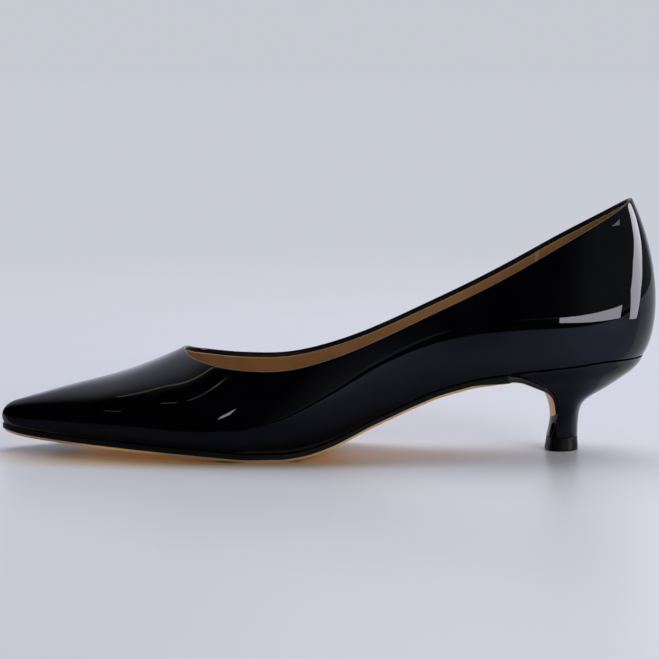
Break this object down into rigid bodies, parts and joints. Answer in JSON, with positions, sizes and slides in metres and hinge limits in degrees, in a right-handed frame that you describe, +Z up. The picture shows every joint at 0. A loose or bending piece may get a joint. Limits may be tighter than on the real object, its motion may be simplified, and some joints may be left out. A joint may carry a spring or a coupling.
{
  "type": "kitten heel pump",
  "caption": "Left kitten heel pump with a pointed toe, low-cut topline and slim covered heel, hollow inside to take the foot.",
  "frame": {"origin": "centre of the shoe's box on the floor that it stands on", "axes": "toe towards -X, heel towards +X, lateral (outer) side towards -Y, medial (inner) side towards +Y, +Z up"},
  "size_m": [0.2625, 0.0759, 0.1015],
  "materials": {
    "patent_leather": "black patent, mirror gloss",
    "lining_leather": "tan lining leather, matt",
    "sole_leather": "beige sole leather, satin, with a black painted edge",
    "tip_rubber": "black, satin"
  },
  "bodies": {
    "root": {"upper": "patent_leather", "insole": "lining_leather", "outsole": "sole_leather", "heel": "patent_leather", "top_piece": "tip_rubber"}
  },
  "joints": []
}
